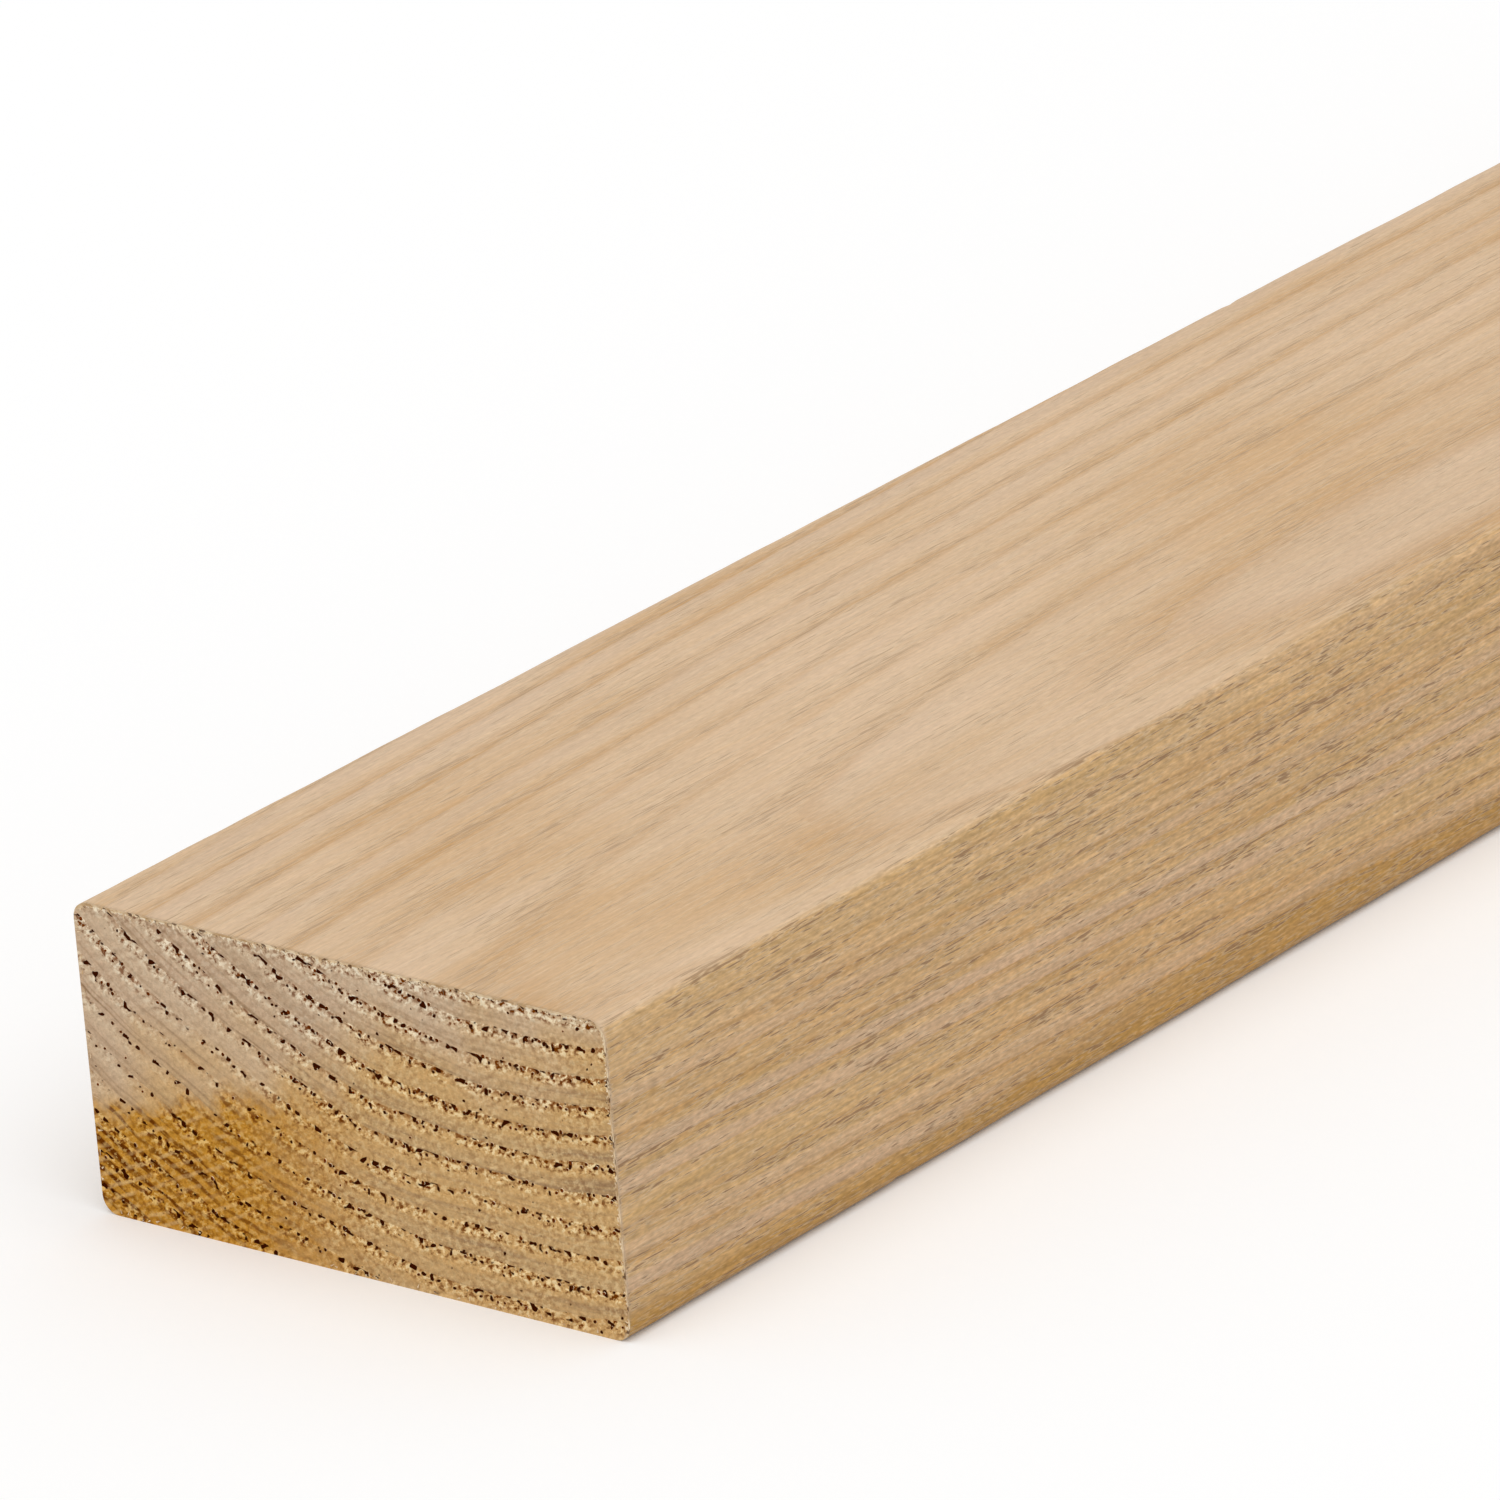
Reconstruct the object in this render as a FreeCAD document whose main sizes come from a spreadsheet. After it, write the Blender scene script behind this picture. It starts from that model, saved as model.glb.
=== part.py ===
import FreeCAD, Part
import math
import os

import Sketcher

# Hardwood framing timber: one length of seasoned hardwood, planed to a 90 x 45 mm section.
# The planing heads round the four long corners, called arrises, in the same pass as the
# faces, so one outline runs the whole length. A docking saw cuts both ends square.
# Frame: X along the grain, Y across the wide faces, Z up through the thickness. The timber
# lies on a wide face, and the origin is the middle of that face.

NODE = "timber"

# Driving dimensions in millimetres: name, value, what it is.
SIZES = (
    ("length", 2400.0, "stock length, from saw cut to saw cut"),
    ("width", 90.0, "wide faces, from edge to edge"),
    ("thickness", 45.0, "from one wide face to the other"),
    ("arris_radius", 2.5, "rounding of the four long corners"),
)

# How a constraint names a line's or an arc's ends, and the sketch's own two axes.
START, END = 1, 2
ACROSS_AXIS, UPRIGHT_AXIS = -1, -2


# The sheet holds the driving dimensions, each under its own name.
def make_sheet(doc):
    sheet = doc.addObject("Spreadsheet::Sheet", "Sizes")
    for row, (name, value, meaning) in enumerate(SIZES, start=1):
        sheet.set(f"A{row}", name)
        sheet.set(f"B{row}", str(value))
        sheet.set(f"C{row}", meaning)
        sheet.setAlias(f"B{row}", name)
    doc.recompute()
    return sheet


def origin_plane(body, role):
    return next(plane for plane in body.Origin.OriginFeatures if plane.Role == role)


# Four flats and four rounded corners, drawn anticlockwise from the lower flat.
# Returns the numbers of the flats and of the corners: each corner follows the flat of its number.
def draw_outline(sketch, sheet):
    radius = sheet.arris_radius
    side = sheet.width / 2
    inner_side = side - radius
    inner_top = sheet.thickness - radius
    flat_ends = (
        ((-inner_side, 0), (inner_side, 0)),
        ((side, radius), (side, inner_top)),
        ((inner_side, sheet.thickness), (-inner_side, sheet.thickness)),
        ((-side, inner_top), (-side, radius)),
    )
    corner_centres = (
        (inner_side, radius),
        (inner_side, inner_top),
        (-inner_side, inner_top),
        (-inner_side, radius),
    )
    quarter_turn = math.pi / 2
    upward = FreeCAD.Vector(0, 0, 1)
    flats = []
    corners = []
    for index, (flat_start, flat_end) in enumerate(flat_ends):
        line = Part.LineSegment(FreeCAD.Vector(*flat_start), FreeCAD.Vector(*flat_end))
        flats.append(sketch.addGeometry(line))
        circle = Part.Circle(FreeCAD.Vector(*corner_centres[index]), upward, radius)
        first_angle = (index - 1) * quarter_turn
        arc = Part.ArcOfCircle(circle, first_angle, first_angle + quarter_turn)
        corners.append(sketch.addGeometry(arc))
    return flats, corners


# Every corner runs smoothly into the flats beside it, and all four have one radius.
# The section stands on the sketch's across axis and is even about its upright axis.
def constrain_outline(sketch, flats, corners):
    lower, right, upper, left = flats
    for index, corner in enumerate(corners):
        next_flat = flats[(index + 1) % len(flats)]
        sketch.addConstraint(Sketcher.Constraint("Tangent", flats[index], END, corner, START))
        sketch.addConstraint(Sketcher.Constraint("Tangent", corner, END, next_flat, START))
    for corner in corners[1:]:
        sketch.addConstraint(Sketcher.Constraint("Equal", corners[0], corner))
    sketch.addConstraint(Sketcher.Constraint("Vertical", right))
    sketch.addConstraint(Sketcher.Constraint("Vertical", left))
    sketch.addConstraint(Sketcher.Constraint("Horizontal", upper))
    sketch.addConstraint(Sketcher.Constraint("Symmetric", lower, START, lower, END, UPRIGHT_AXIS))
    sketch.addConstraint(Sketcher.Constraint("PointOnObject", lower, START, ACROSS_AXIS))


# A size constraint takes its value from the cell of the same name.
def drive(sketch, sheet, kind, name, *places):
    value = getattr(sheet, name)
    number = sketch.addConstraint(Sketcher.Constraint(kind, *places, value))
    sketch.renameConstraint(number, name)
    sketch.setExpression(f"Constraints.{name}", f"{sheet.Name}.{name}")


def make_section(body, sheet):
    sketch = body.newObject("Sketcher::SketchObject", "Section")
    sketch.AttachmentSupport = [(origin_plane(body, "YZ_Plane"), "")]
    sketch.MapMode = "FlatFace"
    flats, corners = draw_outline(sketch, sheet)
    constrain_outline(sketch, flats, corners)
    lower, right, upper, left = flats
    drive(sketch, sheet, "DistanceX", "width", left, END, right, START)
    drive(sketch, sheet, "DistanceY", "thickness", lower, END, upper, START)
    drive(sketch, sheet, "Radius", "arris_radius", corners[0])
    return sketch


# One stick, sawn from one log: its section carried along the grain, half to each side.
def make_timber(doc, sheet):
    body = doc.addObject("PartDesign::Body", "Timber")
    body.Label = NODE
    section = make_section(body, sheet)
    stick = body.newObject("PartDesign::Pad", "PlanedLength")
    stick.Profile = section
    stick.setExpression("Length", f"{sheet.Name}.length")
    stick.Midplane = True
    return body


def check(doc, body):
    failed = [item.Name for item in doc.Objects if {"Invalid", "Error"} & set(item.State)]
    if failed:
        raise RuntimeError(f"failed: {', '.join(failed)}")
    if body.Shape.isNull() or not body.Shape.isValid() or len(body.Shape.Solids) != 1:
        raise RuntimeError(f"{body.Label} is not one valid solid")


def main():
    doc = FreeCAD.newDocument("HardwoodFramingTimber")
    sheet = make_sheet(doc)
    timber = make_timber(doc, sheet)
    doc.recompute()
    check(doc, timber)
    os.makedirs("parts", exist_ok=True)
    timber.Shape.exportStep(f"parts/{timber.Label}.step")
    box = timber.Shape.BoundBox
    print(f"{timber.Label}: {box.XLength:.1f} x {box.YLength:.1f} x {box.ZLength:.1f} mm,",
          f"{timber.Shape.Volume / 1e6:.4f} dm3")


main()
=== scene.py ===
from functools import partial
import math

import bpy
from mathutils import Matrix, Vector


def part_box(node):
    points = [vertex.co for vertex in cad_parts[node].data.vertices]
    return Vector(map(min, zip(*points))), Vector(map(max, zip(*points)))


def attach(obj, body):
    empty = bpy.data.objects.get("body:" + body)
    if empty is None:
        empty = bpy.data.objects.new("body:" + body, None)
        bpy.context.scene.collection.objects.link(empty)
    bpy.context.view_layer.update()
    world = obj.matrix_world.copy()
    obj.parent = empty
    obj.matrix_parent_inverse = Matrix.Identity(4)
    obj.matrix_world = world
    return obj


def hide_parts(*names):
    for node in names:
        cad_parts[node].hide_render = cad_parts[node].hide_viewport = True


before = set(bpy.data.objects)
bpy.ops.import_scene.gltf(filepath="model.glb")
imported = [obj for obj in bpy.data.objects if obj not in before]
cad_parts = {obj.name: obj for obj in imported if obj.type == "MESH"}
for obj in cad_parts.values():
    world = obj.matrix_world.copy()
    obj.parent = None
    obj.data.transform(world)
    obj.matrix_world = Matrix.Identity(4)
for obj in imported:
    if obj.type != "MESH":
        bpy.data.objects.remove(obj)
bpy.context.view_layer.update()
low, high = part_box("timber")
stickLength, stickWidth, stickThickness = high - low
print("frame loaded:", [round(side, 4) for side in high - low])


# A hex colour as it is seen, turned to the linear numbers that shaders take.
def linear(hexColour):
    parts = [int(hexColour[start:start + 2], 16) / 255 for start in (1, 3, 5)]
    return (*[part / 12.92 if part <= 0.04045 else ((part + 0.055) / 1.055) ** 2.4 for part in parts], 1.0)


# Adds one node, with its settings. Values go to its inputs in order, or by name. A node or a socket given as
# a value is linked, and a hex colour is turned to linear. The functions below call it add, for one tree.
def addNode(tree, kind, *values, named=None, **settings):
    made = tree.nodes.new(kind)
    for name, value in settings.items():
        setattr(made, name, value)
    sockets = [socket for socket in made.inputs if socket.enabled]
    pairs = list(zip(sockets, values))
    for name, value in (named or {}).items():
        pairs.append((next(socket for socket in sockets if socket.name == name), value))
    for socket, value in pairs:
        for item in value if isinstance(value, list) else [value]:
            if isinstance(item, str) and item.startswith("#"):
                item = linear(item)
            if isinstance(item, bpy.types.Node):
                item = next(output for output in item.outputs if output.enabled)
            if isinstance(item, bpy.types.NodeSocket):
                tree.links.new(item, socket)
            else:
                socket.default_value = item
    return made


# Settings that many nodes share: a range eased at both its ends, and a whole number kept on each face.
smooth = {"interpolation_type": "SMOOTHSTEP"}
onFaces = {"data_type": "INT", "domain": "FACE"}


# Camera: a long lens, low over the seen end's near corner, at the photograph's angle.
camera = {
    "place": (-1.14266, -1.02231, 0.66651),  # m, from the middle of the seen end's lower edge
    "heading": 39.7198,  # degrees, from along the grain towards the far wide edge
    "dip": 21.2922,  # degrees below level
    "roll": -4.7483,  # degrees
    "lens": 305.82,  # mm
    "sensor": 36,
    "sees": (0.05, 200),  # m, the nearest and the farthest
}


def makeCamera():
    data = bpy.data.cameras.new("camera")
    data.lens = camera["lens"]
    data.sensor_width = camera["sensor"]
    data.clip_start, data.clip_end = camera["sees"]
    made = bpy.data.objects.new("camera", data)
    bpy.context.scene.collection.objects.link(made)
    right, forward, up = camera["place"]
    turn = (
        Matrix.Rotation(math.radians(camera["heading"] - 90), 4, "Z")
        @ Matrix.Rotation(math.radians(90 - camera["dip"]), 4, "X")
        @ Matrix.Rotation(math.radians(camera["roll"]), 4, "Z")
    )
    made.matrix_world = Matrix.Translation((low.x + right, forward, low.z + up)) @ turn
    bpy.context.scene.camera = made


# Growth rings, in mm. The pith lay above the stick. The rings' middle line wanders along the grain and lifts
# near the seen end, so the same rings curve across the sawn ends and run out as pointed arches on the wide
# faces.
rings = {
    "pith": (-31.0, 131.0),  # y and z
    "spacing": 4.55,  # between one ring and the next
    "start": 93.0,  # radius of one ring's inner edge
    "swing": 9.0,  # how far the middle line wanders
    "swingLength": 1850.0,  # along the grain, for one wander
    "swingFrom": -1200.0,
    "lift": 6.5,
    "liftPlace": (-1040.0, -31.0, 45.0),
    "liftSize": (150.0, 40.0, 22.0),
    "bend": 0.9,  # slow unevenness of the rings
    "bendSize": (260.0, 30.0, 30.0),
    "wave": 0.2,  # quick unevenness
    "waveSize": (60.0, 6.0, 6.0),
    "porousShare": 0.2,  # of each ring, where the wide vessels are
}


# Adds the ring pattern to a tree. Returns the place in mm, the count of rings from the start, how far across
# its own ring a point is from 0 to 1, a number that differs from ring to ring, and the way round the pith
# in mm.
def growthRings(tree, place):
    add = partial(addNode, tree)
    place = add("ShaderNodeVectorMath", place, named={"Scale": 1000.0}, operation="SCALE")
    x, y, z = add("ShaderNodeSeparateXYZ", place).outputs
    acrossPith = add("ShaderNodeMath", y, rings["pith"][0], operation="SUBTRACT")
    belowPith = add("ShaderNodeMath", rings["pith"][1], z, operation="SUBTRACT")
    spoke = add("ShaderNodeCombineXYZ", acrossPith, belowPith, 0.0)
    radius = add("ShaderNodeVectorMath", spoke, operation="LENGTH")
    turn = add("ShaderNodeMath", acrossPith, belowPith, operation="ARCTAN2")
    around = add("ShaderNodeMath", turn, rings["start"], operation="MULTIPLY")
    along = add("ShaderNodeMath", x, rings["swingFrom"], operation="SUBTRACT")
    phase = add("ShaderNodeMath", along, 2 * math.pi / rings["swingLength"], operation="MULTIPLY")
    sway = add("ShaderNodeMath", phase, operation="SINE")
    radius = add("ShaderNodeMath", sway, -rings["swing"], radius, operation="MULTIPLY_ADD")
    fromLift = add("ShaderNodeVectorMath", place, rings["liftPlace"], operation="SUBTRACT")
    fromLift = add("ShaderNodeVectorMath", fromLift, rings["liftSize"], operation="DIVIDE")
    fromLift = add("ShaderNodeVectorMath", fromLift, fromLift, operation="DOT_PRODUCT")
    fromLift = add("ShaderNodeMath", fromLift.outputs["Value"], -1.0, operation="MULTIPLY")
    lifted = add("ShaderNodeMath", fromLift, operation="EXPONENT")
    radius = add("ShaderNodeMath", lifted, -rings["lift"], radius, operation="MULTIPLY_ADD")
    noiseReach = 4  # a noise strays about a quarter each way, and this brings it to one
    for size, amount in (("bendSize", "bend"), ("waveSize", "wave")):
        stretched = add("ShaderNodeVectorMath", place, rings[size], operation="DIVIDE")
        noise = add("ShaderNodeTexNoise", stretched, named={"Scale": 1.0, "Detail": 1.0})
        shift = add("ShaderNodeMath", noise, 0.5, operation="SUBTRACT")
        reach = noiseReach * rings[amount]
        radius = add("ShaderNodeMath", shift, reach, radius, operation="MULTIPLY_ADD")
    count = add("ShaderNodeMath", radius, rings["start"], operation="SUBTRACT")
    count = add("ShaderNodeMath", count, rings["spacing"], operation="DIVIDE")
    across = add("ShaderNodeMath", count, operation="FRACT")
    number = add("ShaderNodeMath", count, operation="FLOOR")
    chance = add("ShaderNodeTexWhiteNoise", number, noise_dimensions="1D")
    return [made.outputs[0] for made in (place, count, across, chance, around)]


# The stick: the planed section carried along the grain, and two sawn ends with open pores and torn fibres.
stick = {
    "Length": stickLength,
    "Width": stickWidth,
    "Thickness": stickThickness,
    "Arris Radius": 0.0025,
    "Arris Steps": 6,  # points round each long corner
    "Flat Step": 0.0095,  # m between the lines that run along a flat
    "Stations": 620,  # sections along the length
    "Near Spacing": 0.3,  # of the mean spacing, at the seen end
    "Arris Wander": 0.00018,  # m, how unevenly the corners are rounded
    "Lip Width": 0.0004,  # m, of the raised lip that the saw leaves round an end
    "Lip Height": 0.00016,
    "Pore Gap": 0.00084,  # m, least distance from pore to pore
    "Pore Tries": 9e6,  # to a square metre, before the gap and the rings thin them out
    "Pore Width": 0.00064,  # m, of a wide pore
    "Pore Depth": 0.0009,
    "Pore Taper": 0.6,
    "Rim Width": 0.15,  # of a torn rim, as a share of its pore's half width
    "Rim Height": 0.00007,
    "Pale Rims": 0.6,  # share of the rims
    "Fibre Gap": 0.00055,  # m between torn fibres round a sawn end
    "Fibre Length": 0.0012,
    "Fibre Width": 0.0002,
    "Fibres Torn": 0.85,  # share of the places where the saw's teeth came out
    "Fibres Else": 0.2,  # and elsewhere
    "Seed": 7,
}

# What makes a pore likely, beside the rings: a range, and the share of pores at each end of it.
poreChance = {
    "acrossEnd": (-stickWidth / 3, stickWidth / 3, 1.0, 0.32),  # m
    "upEnd": (0.008, 0.03, 0.45, 1.0),  # m
    "ringToRing": (0.0, 1.0, 0.75, 1.0),
    "groups": (0.34, 0.5, 0.4, 1.0),
    "groupCount": 170.0,  # in a metre
}


# A sawn end, made flat on X and Y with its outward side up, then stood up across the grain. side is -1 at
# the seen end and 1 at the far one.
def sawnEnd(tree, given, section, side):
    add = partial(addNode, tree)
    half = add("ShaderNodeMath", given["Length"], side / 2, operation="MULTIPLY")
    here = add("GeometryNodeInputPosition")
    flatX, flatY, flatZ = add("ShaderNodeSeparateXYZ", here).outputs
    inWood = add("ShaderNodeCombineXYZ", half, flatX, flatY)
    _, _, across, chance, _ = growthRings(tree, inWood)

    # a narrow lip all round, standing proud of the rest
    fullSize = add("ShaderNodeCombineXYZ", given["Width"], given["Thickness"], 1.0)
    middle = add("ShaderNodeVectorMath", fullSize, (0.0, 0.5, 0.0), operation="MULTIPLY")
    offMiddle = add("ShaderNodeVectorMath", here, middle, operation="SUBTRACT")
    lipBoth = add("ShaderNodeMath", given["Lip Width"], 2.0, operation="MULTIPLY")
    lipBoth = add("ShaderNodeCombineXYZ", lipBoth, lipBoth, 0.0)
    inner = add("ShaderNodeVectorMath", fullSize, lipBoth, operation="SUBTRACT")
    inner = add("ShaderNodeVectorMath", inner, fullSize, operation="DIVIDE")
    inner = add("ShaderNodeVectorMath", offMiddle, inner, middle, operation="MULTIPLY_ADD")
    inset = add("GeometryNodeSetPosition", section, named={"Position": inner})
    frameOfLip = add("GeometryNodeJoinGeometry", [section, inset])
    lip = add("GeometryNodeFillCurve", frameOfLip, mode="TRIANGLES")

    # where the saw's teeth came out of the wood, along the top and down the near side
    tornBand = 0.0012  # m
    nearTop = add("FunctionNodeCompare", flatY, stickThickness - tornBand, operation="GREATER_THAN")
    nearSide = add("FunctionNodeCompare", flatX, tornBand - stickWidth / 2, operation="LESS_THAN")
    teethOut = add("FunctionNodeBooleanMath", nearTop, nearSide, operation="OR")
    lipFinish = add("GeometryNodeSwitch", teethOut, 1, 3, input_type="INT")
    lip = add("GeometryNodeStoreNamedAttribute", lip,
              named={"Name": "finish", "Value": lipFinish}, **onFaces)

    # pores, wide and close at the inner edge of a ring and scarce past it, none touching the lip
    farCorner = add("ShaderNodeVectorMath", fullSize, (0.5, 0.5, 0.0), operation="MULTIPLY")
    roundness = add("ShaderNodeCombineXYZ", *[given["Arris Radius"]] * 2, 0.0)
    farCorner = add("ShaderNodeVectorMath", farCorner, roundness, operation="SUBTRACT")
    past = add("ShaderNodeVectorMath", offMiddle, operation="ABSOLUTE")
    past = add("ShaderNodeVectorMath", past, farCorner, operation="SUBTRACT")
    past = add("ShaderNodeVectorMath", past, (0, 0, 0), operation="MAXIMUM")
    past = add("ShaderNodeVectorMath", past, operation="LENGTH")
    clear = add("ShaderNodeMath", given["Arris Radius"], given["Pore Width"], operation="SUBTRACT")
    clear = add("ShaderNodeMath", clear, given["Lip Width"], operation="SUBTRACT")
    outside = add("FunctionNodeCompare", past, clear, operation="GREATER_THAN")
    plate = add("GeometryNodeFillCurve", section, mode="TRIANGLES")
    scattered = add(
        "GeometryNodeDistributePointsOnFaces", plate,
        named={"Distance Min": given["Pore Gap"], "Density Max": given["Pore Tries"], "Seed": given["Seed"]},
        distribute_method="POISSON",
    )
    share = rings["porousShare"]
    porous = add("ShaderNodeMapRange", across, share * 0.8, share * 1.4, 1.0, 0.02)
    crowded = add("ShaderNodeMapRange", flatX, *poreChance["acrossEnd"])
    ringKind = add("ShaderNodeMapRange", chance, *poreChance["ringToRing"])
    lowDown = add("ShaderNodeMapRange", flatY, *poreChance["upEnd"])
    groups = add("ShaderNodeTexNoise", inWood, named={"Scale": poreChance["groupCount"], "Detail": 1.0})
    groups = add("ShaderNodeMapRange", groups, *poreChance["groups"])
    for factor in (crowded, ringKind, lowDown, groups):
        porous = add("ShaderNodeMath", porous, factor, operation="MULTIPLY")
    draw = add("FunctionNodeRandomValue", 0.0, 1.0, named={"Seed": given["Seed"]})
    solid = add("FunctionNodeCompare", draw, porous, operation="GREATER_THAN")
    closed = add("FunctionNodeBooleanMath", outside, solid, operation="OR")
    points = add("GeometryNodeDeleteGeometry", scattered.outputs["Points"], closed)
    width = add("ShaderNodeMapRange", across, 0.0, share * 2.5, 0.5, 0.3)
    width = add("ShaderNodeMath", width, given["Pore Width"], operation="MULTIPLY")
    uneven = add("FunctionNodeRandomValue", (0.75, 0.6, 1.0), (1.15, 1.05, 1.0), data_type="FLOAT_VECTOR")
    size = add("ShaderNodeVectorMath", uneven, named={"Scale": width}, operation="SCALE")
    rimSize = add("ShaderNodeMath", given["Rim Width"], 1.0, operation="ADD")
    mouth = add("GeometryNodeCurvePrimitiveCircle", named={"Resolution": 7, "Radius": rimSize})
    dented = add("FunctionNodeRandomValue", (-0.12, -0.12, 0), (0.12, 0.12, 0), data_type="FLOAT_VECTOR")
    mouth = add("GeometryNodeSetPosition", mouth, named={"Offset": dented})
    spun = add("FunctionNodeRandomValue", (0, 0, 1.8), (0, 0, 3.0), data_type="FLOAT_VECTOR")
    mouths = add("GeometryNodeInstanceOnPoints", points,
                 named={"Instance": mouth, "Rotation": spun, "Scale": size})
    mouths = add("GeometryNodeRealizeInstances", mouths)
    both = add("GeometryNodeJoinGeometry", [inset, mouths])
    pierced = add("GeometryNodeFillCurve", both, mode="TRIANGLES")
    pierced = add("GeometryNodeStoreNamedAttribute", pierced,
                  named={"Name": "finish", "Value": 1}, **onFaces)

    # each mouth rises to a torn rim, broken here and there, and then goes down into the pore
    lids = add("GeometryNodeFillCurve", mouths, mode="NGONS")
    raised = add("GeometryNodeExtrudeMesh", lids,
                 named={"Offset": (0, 0, 1), "Offset Scale": given["Rim Height"]})
    shrink = add("ShaderNodeMath", 1.0, rimSize, operation="DIVIDE")
    rim = add("GeometryNodeScaleElements", raised.outputs["Mesh"],
              named={"Selection": raised.outputs["Top"], "Scale": shrink})
    pale = add("FunctionNodeRandomValue", data_type="BOOLEAN",
               named={"Probability": given["Pale Rims"], "Seed": given["Seed"]})
    rimFinish = add("GeometryNodeSwitch", pale, 1, 3, input_type="INT")
    rim = add("GeometryNodeStoreNamedAttribute", rim,
              named={"Name": "finish", "Value": rimFinish}, **onFaces)
    downward = {"Offset": (0, 0, -1), "Offset Scale": given["Pore Depth"]}
    sunk = add("GeometryNodeExtrudeMesh", rim, named={"Selection": raised.outputs["Top"], **downward})
    sunkMesh, sunkTop, sunkSide = sunk.outputs
    tapered = add("GeometryNodeScaleElements", sunkMesh,
                  named={"Selection": sunkTop, "Scale": given["Pore Taper"]})
    inPit = add("FunctionNodeBooleanMath", sunkTop, sunkSide, operation="OR")
    pits = add("GeometryNodeStoreNamedAttribute", tapered,
               named={"Selection": inPit, "Name": "finish", "Value": 2}, **onFaces)
    sawn = add("GeometryNodeJoinGeometry", [pierced, pits])
    lower = add("ShaderNodeMath", given["Lip Height"], -1.0, operation="MULTIPLY")
    lower = add("ShaderNodeCombineXYZ", 0.0, 0.0, lower)
    sawn = add("GeometryNodeSetPosition", sawn, named={"Offset": lower})
    justInside = add("ShaderNodeMath", given["Lip Width"], 0.5, operation="MULTIPLY")
    justInside = add("ShaderNodeMath", given["Arris Radius"], justInside, operation="SUBTRACT")
    onInset = add("FunctionNodeCompare", past, justInside, operation="LESS_THAN")
    lip = add("GeometryNodeSetPosition", lip, onInset, named={"Offset": lower})

    # fibres that the saw tore up round the edge, thickest where its teeth came out
    edge = add("GeometryNodeResampleCurve", inset, named={"Length": given["Fibre Gap"]}, mode="LENGTH")
    likely = add("ShaderNodeMix", teethOut, given["Fibres Else"], given["Fibres Torn"])
    torn = add("FunctionNodeRandomValue", data_type="BOOLEAN",
               named={"Probability": likely, "Seed": given["Seed"]})
    fibre = add("GeometryNodeMeshCone", named={"Vertices": 4, "Radius Bottom": given["Fibre Width"],
                                               "Depth": given["Fibre Length"]})
    lean = add("FunctionNodeRandomValue", (1.0, 1.0, 0), (2.1, 2.1, 6.3), data_type="FLOAT_VECTOR")
    stretch = add("FunctionNodeRandomValue", (0.4, 0.4, 0.3), (1, 1, 1), data_type="FLOAT_VECTOR")
    fibres = add("GeometryNodeInstanceOnPoints", edge, torn,
                 named={"Instance": fibre.outputs["Mesh"], "Rotation": lean, "Scale": stretch})
    fibres = add("GeometryNodeRealizeInstances", fibres)
    fibres = add("GeometryNodeStoreNamedAttribute", fibres,
                 named={"Name": "finish", "Value": 3}, **onFaces)

    stood = []
    outward = add("ShaderNodeMath", flatZ, side, half, operation="MULTIPLY_ADD")
    standing = add("ShaderNodeCombineXYZ", outward, flatX, flatY)
    sawn = add("GeometryNodeJoinGeometry", [sawn, lip])
    for part in (sawn, fibres):
        if side < 0:
            part = add("GeometryNodeFlipFaces", part)
        stood.append(add("GeometryNodeSetPosition", part, named={"Position": standing}))
    return stood


# Planing and handling leave the long corners uneven. All of it lies inside the true section, and nothing
# stands outside the stick's box.
def wear(tree, given, mesh):
    add = partial(addNode, tree)
    wornReach = 1.4 * stick["Arris Radius"]  # m, how far from an edge the wear goes
    rubSize, nickSize = (16.0, 7.0, 7.0), (5.0, 9.0, 9.0)  # mm
    nickDepth = 2.5  # of the usual wear
    here = add("GeometryNodeInputPosition")
    place = add("ShaderNodeVectorMath", here, named={"Scale": 1000.0}, operation="SCALE")
    _, y, z = add("ShaderNodeSeparateXYZ", here).outputs
    inward = []
    nearEdges = []
    for axis, size, middle in ((y, given["Width"], 0.0), (z, given["Thickness"], stickThickness / 2)):
        off = add("ShaderNodeMath", axis, middle, operation="SUBTRACT")
        reach = add("ShaderNodeMath", off, operation="ABSOLUTE")
        halfSize = add("ShaderNodeMath", size, 0.5, operation="MULTIPLY")
        depth = add("ShaderNodeMath", halfSize, reach, operation="SUBTRACT")
        share = add("ShaderNodeMapRange", depth, 0.0, wornReach, 1.0, 0.0)
        back = add("ShaderNodeMath", off, operation="SIGN")
        inward.append(add("ShaderNodeMath", back, -1.0, operation="MULTIPLY"))
        nearEdges.append(share)
    soft = add("ShaderNodeVectorMath", place, rubSize, operation="DIVIDE")
    soft = add("ShaderNodeTexNoise", soft, named={"Scale": 1.0, "Detail": 2.0})
    rubbed = add("ShaderNodeMapRange", soft, 0.3, 0.75, 0.0, 1.0)
    nick = add("ShaderNodeVectorMath", place, nickSize, operation="DIVIDE")
    nick = add("ShaderNodeTexNoise", nick, named={"Scale": 1.0, "Detail": 1.0})
    nick = add("ShaderNodeMapRange", nick, 0.68, 0.78, 0.0, nickDepth)
    amount = add("ShaderNodeMath", rubbed, nick, operation="ADD")
    for factor in (*nearEdges, given["Arris Wander"]):
        amount = add("ShaderNodeMath", amount, factor, operation="MULTIPLY")
    cornerwards = add("ShaderNodeCombineXYZ", 0.0, *inward)
    moved = add("ShaderNodeVectorMath", cornerwards, named={"Scale": amount}, operation="SCALE")
    mesh = add("GeometryNodeSetPosition", mesh, named={"Offset": moved})
    kept = add("ShaderNodeVectorMath", here, low, operation="MAXIMUM")
    kept = add("ShaderNodeVectorMath", kept, high, operation="MINIMUM")
    return add("GeometryNodeSetPosition", mesh, named={"Position": kept})


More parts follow.
